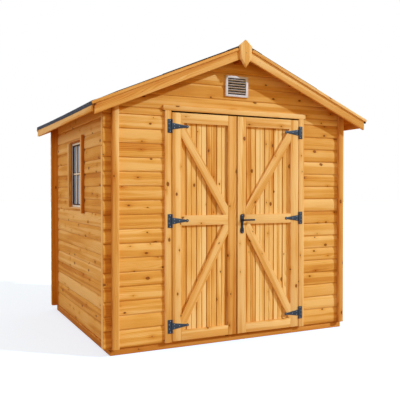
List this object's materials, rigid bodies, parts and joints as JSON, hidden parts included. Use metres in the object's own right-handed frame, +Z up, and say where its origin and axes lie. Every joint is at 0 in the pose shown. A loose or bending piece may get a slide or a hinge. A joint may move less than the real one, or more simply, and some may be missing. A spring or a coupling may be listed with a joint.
{
  "type": "wooden garden shed",
  "caption": "Timber garden shed with a felted gable roof, a pair of braced doors on strap hinges, a small window and a gable vent.",
  "frame": {"origin": "on the ground, under the middle of the shed", "axes": "+X to the right seen from the doors, +Y from the doors to the back, +Z up"},
  "size_m": [2.476, 2.154, 2.4079],
  "materials": {
    "cladding_timber": "satin",
    "planed_timber": "satin",
    "rough_timber": "rough",
    "floor_timber": "satin",
    "roof_felt": "rough",
    "window_paint": "satin",
    "window_glass": "polished",
    "vent_plastic": "satin",
    "black_iron": "satin"
  },
  "bodies": {
    "root": {"floor_frame": "floor_timber", "floor_boards": "floor_timber", "front_wall_left": "cladding_timber", "front_wall_right": "cladding_timber", "front_gable": "cladding_timber", "back_wall": "cladding_timber", "left_wall": "cladding_timber", "right_wall": "cladding_timber", "front_frame_left": "rough_timber", "front_frame_right": "rough_timber", "front_frame_gable": "rough_timber", "back_frame": "rough_timber", "left_frame": "rough_timber", "right_frame": "rough_timber", "corner_batten_front_left": "planed_timber", "corner_batten_front_right": "planed_timber", "corner_batten_back_left": "planed_timber", "corner_batten_back_right": "planed_timber", "door_jamb_left": "planed_timber", "door_jamb_right": "planed_timber", "door_head": "planed_timber", "roof_boards_left": "rough_timber", "roof_boards_right": "rough_timber", "roof_felt": "roof_felt", "ridge_beam": "rough_timber", "purlin_left": "rough_timber", "purlin_right": "rough_timber", "fascia_left": "planed_timber", "fascia_right": "planed_timber", "bargeboard_front_left": "planed_timber", "bargeboard_front_right": "planed_timber", "bargeboard_back_left": "planed_timber", "bargeboard_back_right": "planed_timber", "cover_strips_front": "planed_timber", "cover_strips_back": "planed_timber", "finial_front": "planed_timber", "finial_back": "planed_timber", "window_sash": "window_paint", "window_glass": "window_glass", "window_trim_front": "planed_timber", "window_trim_back": "planed_timber", "vent": "vent_plastic", "left_hinge_plates": "black_iron", "right_hinge_plates": "black_iron"},
    "left_door": {"left_door_boards": "planed_timber", "left_door_frame": "planed_timber", "left_hinge_straps": "black_iron"},
    "right_door": {"right_door_boards": "planed_timber", "right_door_frame": "planed_timber", "right_hinge_straps": "black_iron", "handle_plate": "black_iron"},
    "lever": {"door_lever": "black_iron"}
  },
  "joints": [
    {"name": "left_door_hinge", "type": "hinge", "parent": "root", "child": "left_door", "pos_m": [-0.586, -0.962, 0.986], "axis": [0, 0, -1], "range_deg": [0, 150]},
    {"name": "right_door_hinge", "type": "hinge", "parent": "root", "child": "right_door", "pos_m": [0.586, -0.962, 0.986], "axis": [0, 0, 1], "range_deg": [0, 150]},
    {"name": "lever_turn", "type": "hinge", "parent": "right_door", "child": "lever", "pos_m": [0.029, -0.985, 0.982], "axis": [0, 1, 0], "range_deg": [0, 40], "stiffness_Nm_per_rad": 0.6, "springref_deg": -28.65}
  ]
}
